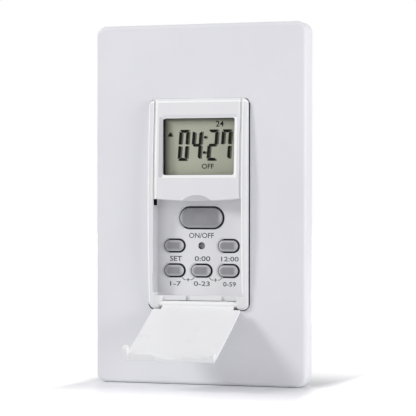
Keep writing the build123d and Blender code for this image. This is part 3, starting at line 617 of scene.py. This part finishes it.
greenLook = {
    "paint": tone(44, 122, 62),
    "rubbed": tone(110, 150, 110),
    "gloss": 0.32,
    "wear": (1400, 4, 0.7),
    "wearRange": (0.55, 0.75),
    "bumpDepth": 0.00003,  # metres
}


def greenFinish():
    finish = Finish("greenScrew")
    wear = finish.ramp(finish.noise(finish.spot(), *greenLook["wear"]), *greenLook["wearRange"])
    finish.surface(BaseColor=finish.mix(wear, greenLook["paint"], greenLook["rubbed"]),
                   Metallic=wear * 0.7 + 0.2, Roughness=greenLook["gloss"] + wear * 0.2,
                   Normal=finish.bump(wear, 0.1, greenLook["bumpDepth"]))
    return finish


paint(greenFinish(), "ground_screw")
print("metals done")


# Rear case, fibre and what is inside

rearLook = {
    "colour": tone(58, 59, 61),
    "worn": tone(74, 75, 78),
    "gloss": 0.55,
    "specular": 0.4,
    "sparkScale": 2600.0,
    "cloud": (60, 3),
    "cloudRange": (0.3, 0.7),
    "bumpDepth": 0.00005,  # metres
}


def rearFinish():
    finish = Finish("rearCase")
    spot = finish.spot()
    spark = finish.add("ShaderNodeTexVoronoi", out="Distance", sockets={
        "Vector": spot, "Scale": rearLook["sparkScale"]})
    cloud = finish.ramp(finish.noise(spot, *rearLook["cloud"]), *rearLook["cloudRange"])
    finish.surface(BaseColor=finish.mix(cloud * 0.5 + spark * 0.2, rearLook["colour"], rearLook["worn"]),
                   Roughness=rearLook["gloss"] + (spark - 0.4) * 0.2,
                   SpecularIORLevel=rearLook["specular"],
                   Normal=finish.bump(spark, 0.25, rearLook["bumpDepth"]))
    return finish


fibreLook = {
    "light": tone(128, 62, 48),
    "dark": tone(88, 44, 36),
    "gloss": 0.75,
    "strand": (1300, 4, 0.7),
    "run": (1, 1, 5),
    "bumpDepth": 0.00004,  # metres
}


def fibreFinish():
    finish = Finish("pressedFibre")
    strand = finish.noise(finish.stretch(finish.spot(), fibreLook["run"]), *fibreLook["strand"])
    finish.surface(BaseColor=finish.mix(strand, fibreLook["light"], fibreLook["dark"]),
                   Roughness=fibreLook["gloss"], Normal=finish.bump(strand, 0.3, fibreLook["bumpDepth"]))
    return finish


paint(rearFinish(), "rear_housing")
paint(fibreFinish(), "screw_washers", "insulator_sheet")

boardLook = {
    "mask": tone(28, 92, 54),
    "trace": tone(48, 122, 72),
    "pad": tone(206, 198, 176),
    "pitch": 1.27,
    "padRadius": 0.42,  # of the pitch
    "padNoise": (1700, 0),
    "padShare": 0.56,  # pads stand where the noise is over this
    "wander": (160, 0),
    "wanderReach": (6.0, 8.0),
    "trackWidth": (0.55, 0.6),  # nearer to 1 is thinner
    "patch": (90, 0),
    "patchRange": (0.49, 0.51),
    "gloss": 0.34,
    "bumpDepth": 0.00004,  # metres
}


def boardFinish():
    # solder mask over tracks, with tinned pads on a regular grid
    look = boardLook
    finish = Finish("circuitBoard")
    spot = finish.spot()
    x, y, z = finish.parts(spot)
    pitch = look["pitch"] * mm
    wander = finish.noise(finish.stretch(spot, (1, 0, 1)), *look["wander"]) - 0.5
    tracks = []
    for place, reach, width in zip((x, z), look["wanderReach"], look["trackWidth"]):
        wave = finish.maths("SINE", (place + wander * (reach * mm)) * (math.pi / pitch))
        tracks.append(wave > width)
    patch = finish.ramp(finish.noise(spot, *look["patch"]), *look["patchRange"])
    route = finish.mix(patch, *tracks)
    across = finish.maths("PINGPONG", x, pitch)
    along = finish.maths("PINGPONG", z, pitch)
    cell = finish.add("ShaderNodeVectorMath", {"operation": "SNAP"},
                      {0: spot, 1: (pitch * 2, 1, pitch * 2)})
    pad = across * across + along * along < (pitch * look["padRadius"]) ** 2
    pad = pad * (finish.noise(cell, *look["padNoise"]) > look["padShare"])
    colour = finish.mix(route, look["mask"], look["trace"])
    finish.surface(BaseColor=finish.mix(pad, colour, look["pad"]), Roughness=look["gloss"] + pad * 0.05,
                   Metallic=pad * 0.8, Normal=finish.bump(pad * 2.0, 0.2, look["bumpDepth"]))
    return finish


paint(boardFinish(), "display_board", "power_board")

components = {
    "blackEpoxy": {
        "nodes": ["controller_chip", "pin_header", "filter_capacitors", "choke"],
        "colour": tone(44, 44, 46),
        "fleck": tone(66, 66, 70),
        "gloss": 0.5,
    },
    "blueCase": {
        "nodes": ["relay", "varistor"],
        "colour": tone(46, 96, 172),
        "fleck": tone(70, 120, 190),
        "gloss": 0.32,
    },
    "yellowCase": {
        "nodes": ["film_capacitor"],
        "colour": tone(224, 190, 60),
        "fleck": tone(206, 168, 48),
        "gloss": 0.3,
    },
}

componentTexture = {"fleck": (2400, 3, 0.7), "fleckRange": (0.5, 0.8), "bumpDepth": 0.00003}


def componentFinish(name, look):
    finish = Finish(name)
    fleck = finish.noise(finish.spot(), *componentTexture["fleck"])
    fleck = finish.ramp(fleck, *componentTexture["fleckRange"])
    finish.surface(BaseColor=finish.mix(fleck, look["colour"], look["fleck"]),
                   Roughness=look["gloss"] + fleck * 0.12,
                   Normal=finish.bump(fleck, 0.15, componentTexture["bumpDepth"]))
    return finish


for name, look in components.items():
    paint(componentFinish(name, look), *look["nodes"])
print("inside finishes done")


# Thin pieces in mesh code

def makePiece(name, mesh, finish, body):
    piece = bpy.data.objects.new(name, mesh)
    scene.collection.objects.link(piece)
    mesh.materials.append(finish.material)
    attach(piece, body)


def finishMesh(shape, name):
    mesh = bpy.data.meshes.new(name)
    shape.to_mesh(mesh)
    shape.free()
    return mesh


def flatMesh(name, outlines, front, thick):
    # outlines as seen from the front, made thin solids whose face lies at the depth front
    shape = bmesh.new()
    for outline in outlines:
        near = [shape.verts.new((x * mm, front * mm, z * mm)) for x, z in outline]
        far = [shape.verts.new((x * mm, (front + thick) * mm, z * mm)) for x, z in outline]
        shape.faces.new(near)
        shape.faces.new(far[::-1])
        for n in range(len(outline)):
            m = (n + 1) % len(outline)
            shape.faces.new((near[n], far[n], far[m], near[m]))
    bmesh.ops.recalc_face_normals(shape, faces=shape.faces)
    return finishMesh(shape, name)


inkTexture = {"dots": (7000, 2, 0.7), "lighter": 1.35, "specular": 0.12, "bumpDepth": 0.00001}


def inkFinish(name, colour, gloss):
    finish = Finish(name)
    dots = finish.noise(finish.spot(), *inkTexture["dots"])
    light = [n * inkTexture["lighter"] for n in colour[:3]] + [1.0]
    finish.surface(BaseColor=finish.mix(dots * 0.35, colour, light), Roughness=gloss + dots * 0.1,
                   SpecularIORLevel=inkTexture["specular"],
                   Normal=finish.bump(dots, 0.1, inkTexture["bumpDepth"]))
    return finish


# Sloped floor of the finger scoop, from the arc in the panel's front down to the door's edge

scoop = {
    "width": 10.1,  # along the lower edge
    "height": 1.95,
    "level": 0.95,  # of the lower edge at the middle
    "rise": 0.75,  # of the lower edge at the bay's side
    "halfBay": 14.0,
    "least": 0.01,  # slope's height at its two ends
    "front": -10.1,
    "back": -8.7,
    "thick": 0.2,
    "steps": 28,
    "look": {"colour": tone(226, 226, 228), "deep": tone(221, 221, 224), "gloss": 0.4, "grain": 0.05},
}


def scoopMesh():
    shape = bmesh.new()
    half, tall, steps = scoop["width"] / 2, scoop["height"], scoop["steps"]
    front, back, thick = scoop["front"], scoop["back"], scoop["thick"]
    radius = (half * half + tall * tall) / (2 * tall)
    rows = []
    for n in range(steps + 1):
        x = half * math.cos(math.pi * n / steps)
        edge = scoop["level"] + scoop["rise"] * (x / scoop["halfBay"]) ** 2
        arc = scoop["level"] + tall - radius + math.sqrt(radius * radius - x * x)
        arc = max(arc, edge + scoop["least"])
        corners = (front, arc), (back, edge), (back + thick, edge), (front + thick, arc)
        rows.append([shape.verts.new((x * mm, y * mm, z * mm)) for y, z in corners])
    for first, second in zip(rows, rows[1:]):
        for n in range(4):
            m = (n + 1) % 4
            shape.faces.new((first[n], first[m], second[m], second[n]))
    shape.faces.new(rows[0])
    shape.faces.new(rows[-1][::-1])
    bmesh.ops.recalc_face_normals(shape, faces=shape.faces)
    return finishMesh(shape, "fingerScoop")


makePiece("fingerScoop", scoopMesh(), whiteFinish("fingerScoop", scoop["look"]), "switch")

# The device sits against the top of the plate's opening, so a lip closes the gap there

lip = {
    "outline": [(-15.3, 33.26), (15.3, 33.26), (15.3, 33.49), (-15.3, 33.49)],
    "front": -7.44,
    "thick": 0.8,
    "look": {"colour": tone(250, 250, 250), "deep": tone(247, 247, 247), "gloss": 0.6, "grain": 0.05},
}

makePiece("topLip", flatMesh("topLip", [lip["outline"]], lip["front"], lip["thick"]),
          whiteFinish("topLip", lip["look"]), "switch")
print("scoop and lip done")


# Film on the display's glass, a little in front of it, since the window rests on the glass itself

film = {
    "outline": [(-12.3, 8.2), (13.1, 8.2), (13.1, 28.2), (-12.3, 28.2)],
    "front": -7.108,
    "thick": 0.004,
}

makePiece("displayFilm", flatMesh("displayFilm", [film["outline"]], film["front"], film["thick"]),
          glass, "switch")


# Lit segments of the display

segmentLook = {
    "digits": [("0", -7.4), ("4", -3.0), ("2", 2.25), ("7", 6.72)],  # left edges at the foot
    "foot": 13.75,
    "head": 23.6,
    "width": 3.22,
    "stroke": 0.94,
    "thinner": 0.03,  # the middle bar, on each side
    "slant": 0.075,
    "front": -7.14,
    "thick": 0.01,
    "dots": [(1.5, 16.35), (1.85, 21.15)],
    "dotRadius": 0.45,
    "dotSides": 12,
    "pointer": [(-10.7, 21.5), (-9.2, 21.5), (-9.85, 23.0)],
    "ink": tone(14, 15, 13),
    "gloss": 0.4,
    "shade": tone(92, 94, 82),
    "shadeGloss": 0.5,
    "shadeStep": (0.5, -0.06),  # how far the shadows lie beside the segments
    "shadeFront": -7.12,
    "shadeThick": 0.008,
}

# which bars each digit lights
lit = {"0": "abcdef", "2": "abdeg", "4": "bcfg", "7": "abcf"}


def segmentBars():
    # each bar's outline in a digit's own box
    look = segmentLook
    wide, tall, thick = look["width"], look["head"] - look["foot"], look["stroke"]
    middle = tall / 2
    half = thick / 2 - look["thinner"]
    side = [(0, 0.72), (0.16, 0.56), (thick, thick + 0.22), (thick, middle - 0.5),
            (0.42, middle - 0.2), (0, middle - 0.3)]
    bars = {
        "d": [(0.45, 0), (wide - 0.35, 0), (wide - 0.14, 0.22), (wide - thick, thick), (thick, thick),
              (0.22, 0.24)],
        "e": side,
        "c": [(wide - x, z) for x, z in side],
        "g": [(0.34, middle), (0.72, middle + half), (wide - 0.72, middle + half), (wide - 0.34, middle),
              (wide - 0.72, middle - half), (0.72, middle - half)],
    }
    # the upper half's bars are the lower half's mirror image
    for low, high in (("d", "a"), ("e", "f"), ("c", "b")):
        bars[high] = [(x, tall - z) for x, z in bars[low]]
    return bars


def segmentOutlines(stepX=0.0, stepZ=0.0):
    look = segmentLook
    bars = segmentBars()
    outlines = []
    for digit, left in look["digits"]:
        for letter in lit[digit]:
            outlines.append([(left + x + z * look["slant"], look["foot"] + z) for x, z in bars[letter]])
    radius = look["dotRadius"]
    turns = [2 * math.pi * n / look["dotSides"] for n in range(look["dotSides"])]
    for x, z in look["dots"]:
        outlines.append([(x + radius * math.cos(t), z + radius * math.sin(t)) for t in turns])
    outlines.append(look["pointer"])
    return [[(x + stepX, z + stepZ) for x, z in outline] for outline in outlines]


segmentInk = inkFinish("segmentInk", segmentLook["ink"], segmentLook["gloss"])
segmentShade = inkFinish("segmentShade", segmentLook["shade"], segmentLook["shadeGloss"])
segments = flatMesh("displaySegments", segmentOutlines(), segmentLook["front"], segmentLook["thick"])
makePiece("displaySegments", segments, segmentInk, "switch")
shadows = flatMesh("segmentShadows", segmentOutlines(*segmentLook["shadeStep"]),
                   segmentLook["shadeFront"], segmentLook["shadeThick"])
makePiece("segmentShadows", shadows, segmentShade, "switch")
print("segments done")


# Printed words: each is fitted to its box on the recess floor or the display

words = {
    "onOff": ("ON/OFF", (-4.2, -10.75, 4.1, -9.1)),
    "set": ("SET", (-10.6, -18.1, -6.6, -16.5)),
    "zero": ("0:00", (-2.3, -18.1, 2.9, -16.5)),
    "time": ("12:00", (6.5, -18.1, 12.3, -16.6)),
    "days": ("1-7", (-10.6, -26.05, -6.9, -24.6)),
    "hours": ("0-23", (-2.6, -26.0, 2.75, -24.5)),
    "minutes": ("0-59", (7.2, -26.05, 11.4, -24.6)),
}

displayWords = {
    "off": ("OFF", (0.72, 11.2, 4.72, 12.8)),
    "hour24": ("24", (5.4, 24.5, 8.0, 26.3)),
}

printLook = {
    "ink": tone(88, 89, 92),
    "gloss": 0.5,
    "front": -4.915,
    "displayFront": -7.14,
    "thick": 0.025,
    "bold": 0.012,  # of the letters' height
    "curveSteps": 3,
}


def wordMesh(name, word, box, front):
    curve = bpy.data.curves.new(name, "FONT")
    curve.body = word
    curve.offset = printLook["bold"]
    curve.extrude = 0.5  # only to tell front from back, which are put in place below
    curve.resolution_u = printLook["curveSteps"]
    holder = bpy.data.objects.new(name, curve)
    scene.collection.objects.link(holder)
    bpy.context.view_layer.update()
    mesh = bpy.data.meshes.new_from_object(holder)
    bpy.data.objects.remove(holder)
    bpy.data.curves.remove(curve)
    left, low, right, high = box
    xs = [v.co.x for v in mesh.vertices]
    ys = [v.co.y for v in mesh.vertices]
    for v in mesh.vertices:
        x = left + (v.co.x - min(xs)) / (max(xs) - min(xs)) * (right - left)
        z = low + (v.co.y - min(ys)) / (max(ys) - min(ys)) * (high - low)
        y = front if v.co.z > 0 else front + printLook["thick"]
        v.co = (x * mm, y * mm, z * mm)
    mesh.name = name
    return mesh


legendInk = inkFinish("legendInk", printLook["ink"], printLook["gloss"])
for name, (word, box) in words.items():
    mesh = wordMesh("legend_" + name, word, box, printLook["front"])
    makePiece("legend_" + name, mesh, legendInk, "switch")
for name, (word, box) in displayWords.items():
    mesh = wordMesh("display_" + name, word, box, printLook["displayFront"])
    makePiece("display_" + name, mesh, segmentInk, "switch")

# Brackets that join two keys, with a plus sign between them

bracketLook = {
    "pairs": [(-6.6, -2.4), (2.5, 6.8)],
    "top": -23.3,
    "low": -24.05,
    "slope": 0.8,  # how far in the sloping ends reach
    "clear": 0.8,  # bare on each side of the plus sign's middle
    "arm": 0.55,
    "stroke": 0.2,
    "plusStroke": 0.24,
}


def strip(x1, z1, x2, z2, wide):
    run = Vector((x2 - x1, z2 - z1))
    side = Vector((-run.y, run.x)).normalized() * wide / 2
    return [(x1 + side.x, z1 + side.y), (x1 - side.x, z1 - side.y),
            (x2 - side.x, z2 - side.y), (x2 + side.x, z2 + side.y)]


def bracketOutlines():
    look = bracketLook
    top, low, wide = look["top"], look["low"], look["stroke"]
    arm, bold = look["arm"], look["plusStroke"]
    outlines = []
    for left, right in look["pairs"]:
        middle = (left + right) / 2
        for end, side in ((left, 1), (right, -1)):
            knee = end + side * look["slope"]
            outlines.append(strip(end, top, knee, low, wide))
            outlines.append(strip(knee, low, middle - side * look["clear"], low, wide))
        outlines.append(strip(middle - arm, low, middle + arm, low, bold))
        for start, end in ((-arm, -bold / 2), (bold / 2, arm)):
            outlines.append(strip(middle, low + start, middle, low + end, bold))
    return outlines


brackets = flatMesh("legend_brackets", bracketOutlines(), printLook["front"], printLook["thick"])
makePiece("legend_brackets", brackets, legendInk, "switch")
print("printing done")


# Floor, world and lamps

studio = {
    "floor": tone(242, 242, 245),
    "floorSpeck": tone(236, 236, 239),
    "floorGloss": 0.3,
    "floorSpecular": 0.35,
    "floorNoise": (300, 3),
    "floorReach": 3.0,  # metres, as in all that follows
    "floorDrop": 0.00005,
    "floorCells": 24,
    "foot": (0.035, 0.00375),  # half of what the plate covers
    "fade": (0.0, 0.057),  # the floor is lifted to white over this, before the plate
    "lift": 0.42,
    "sideFade": (0.0, 0.016),
    "sideLift": 0.86,
    "world": (0.37, 0.37, 0.3737, 1),
    "lamps": {
        "keyLamp": {"place": (-0.86, -0.72, 0.65), "size": 0.4, "power": 6.8},
        "sideLamp": {"place": (1.25, -0.3, 0.2), "size": 0.7, "power": 8.8},
        "topLamp": {"place": (0.2, -0.45, 1.2), "size": 0.8, "power": 1.4},
    },
}

black, white = (0, 0, 0, 1), (1, 1, 1, 1)


def seenDirectly(finish):
    # 1 for the camera, and in gloss and glass; 0 for the light that reaches a surface
    light = finish.tree.nodes.new("ShaderNodeLightPath")
    rays = [Value(finish, light.outputs[n])
            for n in ("Is Camera Ray", "Is Glossy Ray", "Is Transmission Ray")]
    return finish.maths("MINIMUM", rays[0] + rays[1] + rays[2], 1.0)


def floorFinish():
    finish = Finish("floor")
    spot = finish.spot()
    x, y, z = finish.parts(spot)
    halfWide, halfDeep = studio["foot"]
    beside = finish.larger(abs(x) - halfWide, 0.0)
    before = finish.larger(abs(y + halfDeep) - halfDeep, 0.0)
    front = finish.ramp(before, *studio["fade"]) * studio["lift"]
    side = finish.ramp(beside, *studio["sideFade"]) * studio["sideLift"]
    glow = finish.mix(finish.larger(front, side) * seenDirectly(finish), black, white)
    speck = finish.noise(spot, *studio["floorNoise"])
    finish.surface(BaseColor=finish.mix(speck * 0.2, studio["floor"], studio["floorSpeck"]),
                   Roughness=studio["floorGloss"] + speck * 0.05,
                   SpecularIORLevel=studio["floorSpecular"], EmissionColor=glow, EmissionStrength=1.0)
    return finish


def makeFloor():
    cells = studio["floorCells"]
    shape = bmesh.new()
    bmesh.ops.create_grid(shape, x_segments=cells, y_segments=cells, size=studio["floorReach"])
    mesh = finishMesh(shape, "floor")
    mesh.materials.append(floorFinish().material)
    floor = bpy.data.objects.new("floor", mesh)
    floor.location = (0, 0, cadBox[0].z - studio["floorDrop"])
    scene.collection.objects.link(floor)


def makeWorld():
    world = bpy.data.worlds.new("studio")
    world.use_nodes = True
    finish = Finish("studio", world.node_tree, "ShaderNodeOutputWorld")
    glow = finish.mix(seenDirectly(finish), studio["world"], white)
    finish.show(finish.add("ShaderNodeBackground", sockets={"Color": glow, "Strength": 1.0}))
    scene.world = world


def makeLamps():
    for name, look in studio["lamps"].items():
        data = bpy.data.lights.new(name, "AREA")
        data.shape = "DISK"
        data.size = look["size"]
        data.energy = look["power"]
        lamp = bpy.data.objects.new(name, data)
        lamp.location = look["place"]
        lamp.rotation_mode = "QUATERNION"
        lamp.rotation_quaternion = (-Vector(look["place"])).to_track_quat("-Z", "Y")
        scene.collection.objects.link(lamp)


makeFloor()
makeWorld()
makeLamps()
scene.view_settings.view_transform = "Standard"
print("studio done")
